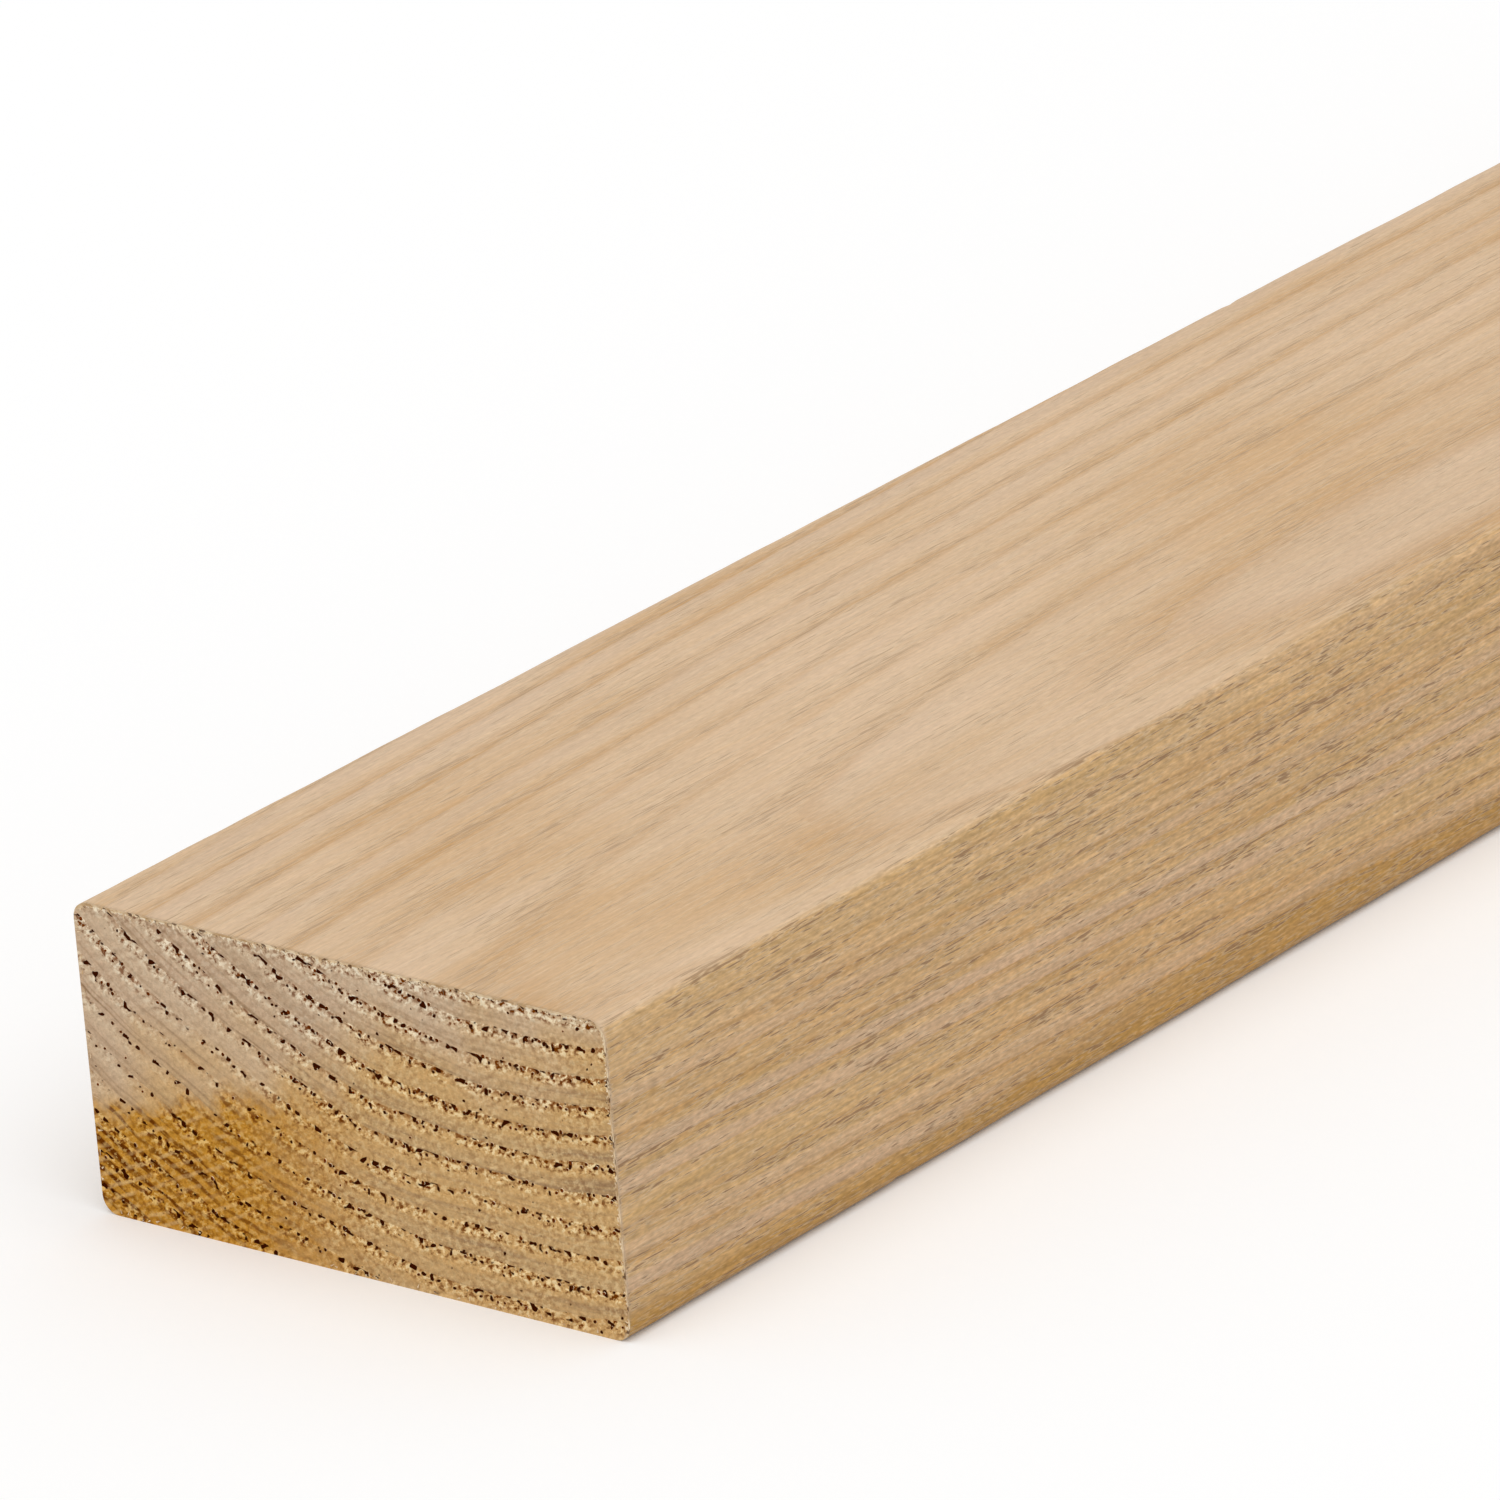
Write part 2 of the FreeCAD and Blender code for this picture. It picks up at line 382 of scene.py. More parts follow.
def makeStick(materials):
    tree = bpy.data.node_groups.new("planedStick", "GeometryNodeTree")
    add = partial(addNode, tree)
    for name, value in stick.items():
        kind = "NodeSocketInt" if isinstance(value, int) else "NodeSocketFloat"
        tree.interface.new_socket(name, in_out="INPUT", socket_type=kind)
    tree.interface.new_socket("Geometry", in_out="OUTPUT", socket_type="NodeSocketGeometry")
    given = add("NodeGroupInput").outputs

    # the section, with its corners rounded and its flats divided
    sheet = add("GeometryNodeCurvePrimitiveQuadrilateral",
                named={"Width": given["Width"], "Height": given["Thickness"]})
    lift = add("ShaderNodeMath", given["Thickness"], 0.5, operation="MULTIPLY")
    lift = add("ShaderNodeCombineXYZ", 0.0, lift, 0.0)
    sheet = add("GeometryNodeTransform", sheet, named={"Translation": lift})
    rounded = add("GeometryNodeFilletCurve", sheet,
                  named={"Count": given["Arris Steps"], "Radius": given["Arris Radius"]}, mode="POLY")
    following = add("GeometryNodeOffsetPointInCurve", named={"Offset": 1})
    here = add("GeometryNodeInputPosition")
    after = add("GeometryNodeFieldAtIndex", here, following.outputs["Point Index"],
                data_type="FLOAT_VECTOR")
    gap = add("ShaderNodeVectorMath", here, after, operation="DISTANCE")
    cuts = add("ShaderNodeMath", gap, given["Flat Step"], operation="DIVIDE")
    section = add("GeometryNodeSubdivideCurve", rounded, cuts)

    # carried along the grain, with its stations closest at the seen end
    spine = add("GeometryNodeCurvePrimitiveLine", (0, 0, 0), (1, 0, 0))
    spine = add("GeometryNodeResampleCurve", spine, named={"Count": given["Stations"]})
    step = add("GeometryNodeSplineParameter")
    cube = add("ShaderNodeMath", step, 3.0, operation="POWER")
    eased = add("ShaderNodeMix", given["Near Spacing"], cube, step)
    middled = add("ShaderNodeMath", eased, 0.5, operation="SUBTRACT")
    along = add("ShaderNodeMath", middled, given["Length"], operation="MULTIPLY")
    along = add("ShaderNodeCombineXYZ", along, 0.0, 0.0)
    spine = add("GeometryNodeSetPosition", spine, named={"Position": along})
    turned = add("GeometryNodeTransform", section, named={"Rotation": (0, 0, math.pi)})
    sides = add("GeometryNodeCurveToMesh", spine, turned)
    sides = add("GeometryNodeStoreNamedAttribute", sides, named={"Name": "finish", "Value": 0}, **onFaces)
    sides = add("GeometryNodeSetShadeSmooth", sides)

    (nearEnd, nearFibres), (farEnd, farFibres) = [sawnEnd(tree, given, section, side) for side in (-1, 1)]
    joined = add("GeometryNodeJoinGeometry", [sides, nearEnd, farEnd])
    joined = add("GeometryNodeMergeByDistance", joined, named={"Distance": 1e-6})
    joined = add("GeometryNodeJoinGeometry", [joined, nearFibres, farFibres])
    worn = wear(tree, given, joined)
    made = add("GeometryNodeRealizeInstances", worn)
    finish = add("GeometryNodeInputNamedAttribute", "finish", data_type="INT")
    for index, material in enumerate(materials):
        wearing = add("FunctionNodeCompare", finish, index, data_type="INT", operation="EQUAL")
        made = add("GeometryNodeSetMaterial", made, wearing, material)
    add("NodeGroupOutput", made)

    base = bpy.data.objects.new("stickBase", bpy.data.meshes.new("stickBase"))
    bpy.context.scene.collection.objects.link(base)
    modifier = base.modifiers.new("planedStick", "NODES")
    modifier.node_group = tree
    for item in tree.interface.items_tree:
        if item.in_out == "INPUT":
            modifier[item.identifier] = stick[item.name]
    mesh = bpy.data.meshes.new_from_object(base.evaluated_get(bpy.context.evaluated_depsgraph_get()))
    bpy.data.objects.remove(base)
    while mesh.materials and mesh.materials[0] is None:
        mesh.materials.pop(index=0)
    made = bpy.data.objects.new("framing_timber", mesh)
    bpy.context.scene.collection.objects.link(made)
    return made


# Starts a material: a Principled shader with a finish's roughness, refraction and gloss. Returns the
# material, its tree, what adds a node to it, and the shader.
def startMaterial(name, finish):
    made = bpy.data.materials.new(name)
    made.use_nodes = True
    tree = made.node_tree
    tree.nodes.clear()
    add = partial(addNode, tree)
    even = {"Roughness": finish["roughness"], "IOR": finish["ior"], "Specular IOR Level": finish["gloss"]}
    shader = add("ShaderNodeBsdfPrincipled", named=even)
    add("ShaderNodeOutputMaterial", shader)
    return made, tree, add, shader


# Planed hardwood, a ring-porous timber near to ash or oak, straight off the planer and unfinished. To the
# eye it is a dull, dry, pale tan, with soft darker lines where the rings meet the face and fine dark cuts
# where the knives opened its vessels lengthwise.
planedWood = {
    "roughness": 0.62,
    "ior": 1.45,
    "gloss": 0.25,
    "pale": "#dfc1a1",
    "tan": "#cfae86",
    "warm": "#cfa36f",
    "ringLine": "#bd8f58",
    "greyed": "#d3b698",
    "vessel": "#6e3c06",
    "torn": "#ecd3b0",  # raised cell walls beside a cut vessel, partly a painted highlight on its lip
    "edgePale": "#dfba8c",  # the narrow faces, cut nearly square to the rings
    "edgeTan": "#c6a069",
    "edgeGreyed": "#d2b193",
    "low": "#b98c45",  # darker along the foot of the narrow faces
    "streakSize": (60.0, 1.5, 1.5),  # mm, along and across the grain
    "fibreSize": (11.0, 0.4, 0.4),
    "fleckSize": (1.6, 0.45, 0.45),
    "patchSize": (80.0, 20.0, 14.0),
    "hairSize": (6.5, 0.24, 0.24),  # vessels cut on the wide faces
    "dashSize": (3.4, 0.28, 0.28),  # and on the narrow ones
    "clumpSize": (16.0, 4.0, 4.0),  # groups of cut vessels
    "narrowFrom": (0.55, 0.95),  # how far a face turns sideways to be narrow: first sign, and wholly
    "warmth": 0.42,  # of the patches, at most
    "lineStrength": (0.14, 0.62),  # of a ring's line, least and most
    "greying": 0.75,  # of the late wood, at most
    "lowWander": -9.0,  # mm, unevenness of the darker foot
    "lowFade": (-1.5, 2.5),  # mm, where the foot is darkest and where it ends, wander included
    "fibreSwing": (0.34, 0.7),  # light and dark on the wide faces, and on the narrow ones
    "fleckSwing": (0.34, 0.95),
    "vesselShown": (0.38, 0.6),
    "tornAndHighlightShown": 0.4,
    "knifeMark": 1.4,  # mm from one planer knife's cut to the next
    "relief": 0.0001,  # m
}


def makePlanedHardwood():
    made, tree, add, shader = startMaterial("planedHardwood", planedWood)
    texturePlace = add("ShaderNodeTexCoord").outputs
    place, _, across, chance, _ = growthRings(tree, texturePlace["Object"])
    _, sideways, _ = add("ShaderNodeSeparateXYZ", texturePlace["Normal"]).outputs
    sideways = add("ShaderNodeMath", sideways, operation="ABSOLUTE")
    onEdge = add("ShaderNodeMapRange", sideways, *planedWood["narrowFrom"], 0.0, 1.0, **smooth)
    noises = {}
    for name, detail in (("streakSize", 3.0), ("fibreSize", 2.0), ("fleckSize", 2.0), ("patchSize", 2.0),
                         ("hairSize", 1.5), ("dashSize", 1.5), ("clumpSize", 1.0)):
        stretched = add("ShaderNodeVectorMath", place, planedWood[name], operation="DIVIDE")
        noises[name] = add("ShaderNodeTexNoise", stretched, named={"Scale": 1.0, "Detail": detail})

    # pale and tan streaks, with warm patches
    streak = add("ShaderNodeMapRange", noises["streakSize"], 0.3, 0.7, 0.0, 1.0)
    broad = add("ShaderNodeMapRange", noises["patchSize"], 0.3, 0.7, 0.0, 1.0)
    toned = add("ShaderNodeMix", 0.6, streak, broad)
    face = add("ShaderNodeMix", toned, planedWood["pale"], planedWood["tan"], data_type="RGBA")
    edge = add("ShaderNodeMix", streak, planedWood["edgePale"], planedWood["edgeTan"], data_type="RGBA")
    face = add("ShaderNodeMix", onEdge, face, edge, data_type="RGBA")
    patch = add("ShaderNodeMapRange", noises["patchSize"], 0.5, 0.7, 0.0, planedWood["warmth"])
    face = add("ShaderNodeMix", patch, face, planedWood["warm"], data_type="RGBA")

    # each ring starts with a soft dark line, warm on its inner side, and greys a little across its late wood
    start = add("ShaderNodeMapRange", across, 0.0, 0.45, 1.0, 0.0, **smooth)
    end = add("ShaderNodeMapRange", across, 0.86, 1.0, 0.0, 1.0, **smooth)
    line = add("ShaderNodeMath", start, end, operation="MAXIMUM")
    fading = add("ShaderNodeMath", noises["patchSize"], chance, operation="ADD")
    fading = add("ShaderNodeMath", fading, noises["clumpSize"], operation="ADD")
    strength = add("ShaderNodeMapRange", fading, 0.7, 1.9, *planedWood["lineStrength"])
    line = add("ShaderNodeMath", line, strength, operation="MULTIPLY")
    face = add("ShaderNodeMix", line, face, planedWood["ringLine"], data_type="RGBA")
    late = add("ShaderNodeMapRange", across, 0.4, 0.65, 0.0, planedWood["greying"], **smooth)
    late = add("ShaderNodeMath", late, chance, operation="MULTIPLY")
    greyed = add("ShaderNodeMix", onEdge, planedWood["greyed"], planedWood["edgeGreyed"], data_type="RGBA")
    face = add("ShaderNodeMix", late, face, greyed, data_type="RGBA")

    # darker along the foot of the narrow faces
    height = add("ShaderNodeSeparateXYZ", place).outputs["Z"]
    height = add("ShaderNodeMath", noises["patchSize"], planedWood["lowWander"], height,
                 operation="MULTIPLY_ADD")
    darkerFoot = add("ShaderNodeMapRange", height, *planedWood["lowFade"], 0.8, 0.0, **smooth)
    turned = add("ShaderNodeMapRange", sideways, 0.2, 0.6, 0.0, 1.0)
    darkerFoot = add("ShaderNodeMath", darkerFoot, turned, operation="MULTIPLY")
    face = add("ShaderNodeMix", darkerFoot, face, planedWood["low"], data_type="RGBA")

    # fibres and short flecks, lighter and darker
    tone = 1.0
    for name, swing in (("fibreSize", "fibreSwing"), ("fleckSize", "fleckSwing")):
        mark = add("ShaderNodeMath", noises[name], 0.5, operation="SUBTRACT")
        swing = add("ShaderNodeMapRange", onEdge, 0.0, 1.0, *planedWood[swing])
        mark = add("ShaderNodeMath", mark, swing, 1.0, operation="MULTIPLY_ADD")
        tone = add("ShaderNodeMath", mark, tone, operation="MULTIPLY")
    tone = add("ShaderNodeCombineColor", tone, tone, tone)
    face = add("ShaderNodeMix", 1.0, face, tone, data_type="RGBA", blend_type="MULTIPLY")

    # vessels cut lengthwise: in groups, most of them in the early wood and near the long corners, and
    # plainer on the narrow faces. Each lies beside a pale thread: torn wall, and a painted highlight where
    # light would catch the lip of the cut.
    crowd = add("ShaderNodeMapRange", across, 0.15, 0.6, 0.07, 0.0)
    offCorner = add("ShaderNodeMath", sideways, 0.7, operation="SUBTRACT")
    offCorner = add("ShaderNodeMath", offCorner, operation="ABSOLUTE")
    splintered = add("ShaderNodeMapRange", offCorner, 0.05, 0.3, 0.07, 0.0)
    crowd = add("ShaderNodeMath", crowd, splintered, operation="ADD")
    crowd = add("ShaderNodeMath", noises["clumpSize"], 0.3, crowd, operation="MULTIPLY_ADD")
    grain = add("ShaderNodeMix", onEdge, noises["hairSize"], noises["dashSize"])
    grain = add("ShaderNodeMath", grain, crowd, operation="ADD")
    # a pale thread round each cut: torn wall and painted highlight
    wall = add("ShaderNodeMapRange", grain, 0.7, 0.78, 0.0, planedWood["tornAndHighlightShown"])
    face = add("ShaderNodeMix", wall, face, planedWood["torn"], data_type="RGBA")
    cut = add("ShaderNodeMapRange", grain, 0.77, 0.89, 0.0, 1.0)
    shown = add("ShaderNodeMapRange", onEdge, 0.0, 1.0, *planedWood["vesselShown"])
    cut = add("ShaderNodeMath", cut, shown, operation="MULTIPLY")
    face = add("ShaderNodeMix", cut, face, planedWood["vessel"], data_type="RGBA")
    tree.links.new(face.outputs[2], shader.inputs["Base Color"])

    # the planer's knives leave faint cross ripples
    along = add("ShaderNodeSeparateXYZ", place).outputs["X"]
    ripple = add("ShaderNodeMath", along, 2 * math.pi / planedWood["knifeMark"], operation="MULTIPLY")
    ripple = add("ShaderNodeMath", ripple, operation="SINE")
    rough = add("ShaderNodeMapRange", noises["fibreSize"], 0.3, 0.7, 0.55, 0.7)
    tree.links.new(rough.outputs[0], shader.inputs["Roughness"])
    height = add("ShaderNodeMath", cut, -1.5, noises["fleckSize"], operation="MULTIPLY_ADD")
    height = add("ShaderNodeMath", ripple, 0.05, height, operation="MULTIPLY_ADD")
    bump = add("ShaderNodeBump", named={"Strength": 0.7, "Distance": planedWood["relief"], "Height": height})
    tree.links.new(bump.outputs[0], shader.inputs["Normal"])
    return made


# The same hardwood across its grain, cut by a docking saw and left dry and rough. It takes light without any
# sheen, shows each ring as a pricked line of open vessels over a smooth grey-tan band, and soaks up stain.
sawnWood = {
    "roughness": 0.85,
    "ior": 1.45,
    "gloss": 0.0,
    "grey": "#dabf9f",
    "golden": "#dbb074",
    "lateGrey": "#ceb092",
    "lateGolden": "#cda978",
    "lateLine": "#a08060",
    "earlyDark": "#8c4a0e",
    # torn fibre in three tones, paler than the wood and brightened further as a painted highlight
    "rim": "#ffefd2",
    "rimGolden": "#ffe3ae",
    "rimStained": "#efc478",
    # painted shade in the hollows of the torn surface
    "hollowShade": "#763b06",
    # painted shade of open vessels too small for the mesh
    "mouth": "#3c1200",
    "stain": "#cc9136",
    "stainDark": "#6c3606",
    "stainPale": "#dcb478",
    "roundShare": 0.03,  # how slowly patterns change along a ring, against across it
    "broadSize": 12.5,  # mm, slow change from grey to golden
    "goldWander": 24.0,  # mm
    "clumpSize": 3.03,  # mm, groups of open vessels
    "patchSize": 4.17,  # mm, patches of torn specks
    "dashSpacing": 1.8,  # mm between the dark dashes of stain
    "soakSize": (2.5, 0.2),  # mm across the rings, and slowed along them
    "lineSize": 0.8,  # mm between the fine lines in late wood
    "speckSize": (0.72, 1.0),  # torn specks in mm, across and along the saw's tracks, twice too coarse
    "mouthSize": (0.9, 1.1),  # mouths of middling vessels
    "sawSpacing": 1.8,  # mm between the saw's tracks
    "sawLean": 24.0,  # degrees
    "bendSize": 8.33,  # mm, wander of the saw's tracks
    "bend": 1.4,  # mm
    "gritSize": 0.6667,  # mm, torn grit, drawn coarser than it is so that it shows
    "stainTop": 27.0,  # mm, height that the stain reached at mid width
    "stainSlope": 0.24,
    "stainEdge": (-1.0, 4.0),  # mm down from that height, where it begins and where it is full
    "stainSide": (-8.0, 22.0),  # mm from mid width, likewise
    "raggedSize": 3.33,  # mm, raggedness of the stain's edge
    "stainWander": 12.0,  # mm
    "sideWander": 16.0,
    "darkSide": (6.0, 36.0),  # where the stain's dashes grow darker
    "goldEdge": (-13.0, 4.0),  # mm down from the stain's height, where grey wood turns golden
    "calmSide": (4.0, 26.0),  # mm from mid width, where the sawn surface grows smooth
    "calmTop": (22.0, 40.0),  # mm, above which it is rough again
    "crestFoot": (42.7, 43.5),  # mm, height of the rough edge where the teeth came out
    "crestTop": (45.85, 46.05),
    "relief": 0.0002,  # m
}


def makeSawnEndGrain():
    made, tree, add, shader = startMaterial("sawnEndGrain", sawnWood)
    objectPlace = add("ShaderNodeTexCoord").outputs["Object"]
    place, count, across, chance, around = growthRings(tree, objectPlace)
    x, y, z = add("ShaderNodeSeparateXYZ", place).outputs
    endNumber = add("ShaderNodeMath", x, 0.02, operation="MULTIPLY")  # one number for each end
    flat = add("ShaderNodeCombineXYZ", endNumber, y, z)
    ringMm = add("ShaderNodeMath", count, rings["spacing"], operation="MULTIPLY")
    slowAround = add("ShaderNodeMath", around, sawnWood["roundShare"], operation="MULTIPLY")
    onRings = add("ShaderNodeCombineXYZ", ringMm, slowAround, 0.0)
    lean = math.radians(sawnWood["sawLean"])
    acrossTracks = add("ShaderNodeVectorMath", flat, (0.0, math.sin(lean), math.cos(lean)),
                       operation="DOT_PRODUCT").outputs["Value"]
    alongTracks = add("ShaderNodeVectorMath", flat, (0.0, -math.cos(lean), math.sin(lean)),
                      operation="DOT_PRODUCT").outputs["Value"]
    onTracks = add("ShaderNodeCombineXYZ", acrossTracks, alongTracks, endNumber)

    noises = {}
    for name, detail in (("broadSize", 2.0), ("clumpSize", 1.0), ("raggedSize", 4.0), ("bendSize", 2.0),
                         ("patchSize", 2.0)):
        noises[name] = add("ShaderNodeTexNoise", flat, named={"Scale": 1 / sawnWood[name], "Detail": detail})

    # grey-tan above and to the left, golden below and to the right
    broad = add("ShaderNodeMath", noises["broadSize"], 0.5, operation="SUBTRACT")
    depth = add("ShaderNodeVectorMath", flat, (0.0, -sawnWood["stainSlope"], -1.0),
                operation="DOT_PRODUCT").outputs["Value"]
    depth = add("ShaderNodeMath", depth, sawnWood["stainTop"], operation="ADD")
    wandering = add("ShaderNodeMath", broad, sawnWood["goldWander"], depth, operation="MULTIPLY_ADD")
    gold = add("ShaderNodeMapRange", wandering, *sawnWood["goldEdge"], 0.0, 1.0, **smooth)
    early = add("ShaderNodeMix", gold, sawnWood["grey"], sawnWood["golden"], data_type="RGBA")
    late = add("ShaderNodeMix", gold, sawnWood["lateGrey"], sawnWood["lateGolden"], data_type="RGBA")
    lateness = add("ShaderNodeMapRange", across, 0.3, 0.75, 0.0, 1.0, **smooth)
    ringKind = add("ShaderNodeMapRange", chance, 0.0, 1.0, 0.4, 1.0)
    lateness = add("ShaderNodeMath", lateness, ringKind, operation="MULTIPLY")
    wood = add("ShaderNodeMix", lateness, early, late, data_type="RGBA")

    # two or three thinner dark lines in the late wood, and darker tissue round the first vessels
    thin = add("ShaderNodeTexNoise", onRings, named={"Scale": 1 / sawnWood["lineSize"], "Detail": 1.0})
    thin = add("ShaderNodeMapRange", thin, 0.48, 0.66, 0.0, 0.85)
    thin = add("ShaderNodeMath", thin, lateness, operation="MULTIPLY")
    wood = add("ShaderNodeMix", thin, wood, sawnWood["lateLine"], data_type="RGBA")
    clump = add("ShaderNodeMapRange", noises["clumpSize"], 0.36, 0.62, 0.0, 1.0)
    firstRow = add("ShaderNodeMapRange", across, 0.08, 0.24, 0.9, 0.0, **smooth)
    upper = add("ShaderNodeMapRange", z, 12.0, 36.0, 0.25, 1.0)
    warmth = add("ShaderNodeMath", gold, 0.4, operation="MAXIMUM")
    for factor in (upper, warmth, clump):
        firstRow = add("ShaderNodeMath", firstRow, factor, operation="MULTIPLY")
    wood = add("ShaderNodeMix", firstRow, wood, sawnWood["earlyDark"], data_type="RGBA")

    # stain soaked into the lower corner, in dark dashes along the rings
    ragged = add("ShaderNodeMath", noises["raggedSize"], 0.5, operation="SUBTRACT")
    soaked = add("ShaderNodeMath", ragged, sawnWood["stainWander"], depth, operation="MULTIPLY_ADD")
    soaked = add("ShaderNodeMapRange", soaked, *sawnWood["stainEdge"], 0.0, 1.0, **smooth)
    fade = add("ShaderNodeMath", ragged, sawnWood["sideWander"], y, operation="MULTIPLY_ADD")
    fade = add("ShaderNodeMapRange", fade, *sawnWood["stainSide"], 0.0, 1.0, **smooth)
    seenEnd = add("ShaderNodeMath", x, 0.0, operation="LESS_THAN")
    stain = soaked
    for factor in (fade, seenEnd):
        stain = add("ShaderNodeMath", stain, factor, operation="MULTIPLY")
    dashes = add("ShaderNodeVectorMath", onRings, (*sawnWood["soakSize"], 1.0), operation="DIVIDE")
    soak = add("ShaderNodeTexNoise", dashes, named={"Scale": 1.0, "Detail": 3.0, "Roughness": 0.6})
    row = add("ShaderNodeMath", ringMm, 2 * math.pi / sawnWood["dashSpacing"], operation="MULTIPLY")
    row = add("ShaderNodeMath", soak, 10.0, row, operation="MULTIPLY_ADD")
    row = add("ShaderNodeMath", row, operation="SINE")
    row = add("ShaderNodeMapRange", row, -0.2, 0.6, 0.0, 1.0)
    dark = add("ShaderNodeMapRange", soak, 0.4, 0.54, 0.2, 1.0)
    darkest = add("ShaderNodeMapRange", y, *sawnWood["darkSide"], 0.35, 1.0)
    for factor in (row, darkest):
        dark = add("ShaderNodeMath", dark, factor, operation="MULTIPLY")
    stained = add("ShaderNodeMix", dark, sawnWood["stain"], sawnWood["stainDark"], data_type="RGBA")
    wood = add("ShaderNodeMix", stain, wood, stained, data_type="RGBA")

    # the saw's tracks cross the rings, and show most where they scraped the stain
    bent = add("ShaderNodeMath", noises["bendSize"], sawnWood["bend"], acrossTracks,
               operation="MULTIPLY_ADD")
    track = add("ShaderNodeMath", bent, 2 * math.pi / sawnWood["sawSpacing"], operation="MULTIPLY")
    track = add("ShaderNodeMath", track, operation="SINE")
    scraped = add("ShaderNodeMapRange", track, 0.25, 0.95, 0.0, 0.8)
    for factor in (stain, clump, darkest):
        scraped = add("ShaderNodeMath", scraped, factor, operation="MULTIPLY")
    wood = add("ShaderNodeMix", scraped, wood, sawnWood["stainPale"], data_type="RGBA")

    # torn wood: pale specks of lifted fibre, brightened as a painted highlight, beside dark hollows of
    # painted shade, thickest in the early wood and along the top, and scarce on the calm grey wood of the
    # far side
    loose = add("ShaderNodeMapRange", across, 0.3, 0.52, 1.0, 0.15, **smooth)
    lower = add("ShaderNodeMath", stain, 0.15, operation="MULTIPLY")
    lower = add("ShaderNodeMath", gold, 0.32, lower, operation="MULTIPLY_ADD")
    loose = add("ShaderNodeMath", loose, lower, operation="MAXIMUM")
    farSide = add("ShaderNodeMapRange", y, *sawnWood["calmSide"], 1.0, 0.25)
    high = add("ShaderNodeMapRange", z, *sawnWood["calmTop"], 0.0, 1.0)
    stirred = add("ShaderNodeMath", farSide, high, operation="MAXIMUM")
    stirred = add("ShaderNodeMath", stirred, stain, operation="MAXIMUM")
    patchy = add("ShaderNodeMapRange", noises["patchSize"], 0.36, 0.56, 0.35, 1.0)
    for factor in (stirred, patchy):
        loose = add("ShaderNodeMath", loose, factor, operation="MULTIPLY")
    nearHalf = add("ShaderNodeMapRange", y, -10.0, 20.0, 1.0, 0.3)
    crest = add("ShaderNodeMapRange", z, *sawnWood["crestFoot"], 0.0, 1.0)
    crest = add("ShaderNodeMath", crest, nearHalf, operation="MULTIPLY")
    loose = add("ShaderNodeMath", loose, crest, operation="MAXIMUM")
    specks = add("ShaderNodeVectorMath", onTracks, (*sawnWood["speckSize"], 1.0), operation="DIVIDE")
    speck = add("ShaderNodeTexNoise", specks, named={"Scale": 1.0, "Detail": 2.0, "Roughness": 0.6})
    speckAndHighlight = add("ShaderNodeMix", gold, sawnWood["rim"], sawnWood["rimGolden"], data_type="RGBA")
    speckAndHighlight = add("ShaderNodeMix", stain, speckAndHighlight, sawnWood["rimStained"], data_type="RGBA")
    # bright specks: pale torn fibre with a painted highlight
    tornAndLitSpeck = add("ShaderNodeMapRange", speck, 0.53, 0.59, 0.0, 1.0)
    tornAndLitSpeck = add("ShaderNodeMath", tornAndLitSpeck, loose, operation="MULTIPLY")
    wood = add("ShaderNodeMix", tornAndLitSpeck, wood, speckAndHighlight, data_type="RGBA")
    # dark specks: painted shade in the hollows
    hollowShade = add("ShaderNodeMapRange", speck, 0.47, 0.39, 0.0, 1.0)
    hollowShade = add("ShaderNodeMath", hollowShade, loose, operation="MULTIPLY")
    wood = add("ShaderNodeMix", hollowShade, wood, sawnWood["hollowShade"], data_type="RGBA")

    # mouths of vessels too small for the mesh, most of them in the first row: dark spots of painted shade
    # where the open vessels would be
    mouths = add("ShaderNodeVectorMath", onTracks, (*sawnWood["mouthSize"], 1.0), operation="DIVIDE")
    mouth = add("ShaderNodeTexNoise", mouths, named={"Scale": 1.0, "Detail": 0.0})
    crowd = add("ShaderNodeMapRange", across, 0.12, 0.32, 0.12, -0.1)
    mouth = add("ShaderNodeMath", mouth, crowd, operation="ADD")
    fewer = add("ShaderNodeMapRange", stirred, 0.2, 1.0, 0.05, 0.0)
    mouth = add("ShaderNodeMath", mouth, fewer, operation="SUBTRACT")
    mouth = add("ShaderNodeMapRange", mouth, 0.7, 0.75, 0.0, 1.0)
    wood = add("ShaderNodeMix", mouth, wood, sawnWood["mouth"], data_type="RGBA")

    # a ragged pale crest along the top where the saw's teeth came out, torn fibre with a painted highlight
    uneven = add("ShaderNodeMath", speck, 3.0, z, operation="MULTIPLY_ADD")
    raised = add("ShaderNodeMapRange", uneven, *sawnWood["crestTop"], 0.0, 0.9)
    wood = add("ShaderNodeMix", raised, wood, sawnWood["rim"], data_type="RGBA")

    # tracks and torn grit
    trackTone = add("ShaderNodeMapRange", track, -1.0, 1.0, 0.97, 1.03)
    grit = add("ShaderNodeTexNoise", onTracks,
               named={"Scale": 1 / sawnWood["gritSize"], "Detail": 3.0, "Roughness": 0.7})
    gritTone = add("ShaderNodeMapRange", grit, 0.32, 0.68, 0.87, 1.13)
    tone = add("ShaderNodeMath", trackTone, gritTone, operation="MULTIPLY")
    tone = add("ShaderNodeCombineColor", tone, tone, tone)
    wood = add("ShaderNodeMix", 1.0, wood, tone, data_type="RGBA", blend_type="MULTIPLY")
    tree.links.new(wood.outputs[2], shader.inputs["Base Color"])
    height = add("ShaderNodeMath", track, 0.2, grit, operation="MULTIPLY_ADD")
    height = add("ShaderNodeMath", mouth, -1.5, height, operation="MULTIPLY_ADD")
    height = add("ShaderNodeMath", speck, 1.0, height, operation="MULTIPLY_ADD")
    bump = add("ShaderNodeBump", named={"Strength": 0.8, "Distance": sawnWood["relief"], "Height": height})
    tree.links.new(bump.outputs[0], shader.inputs["Normal"])
    return made


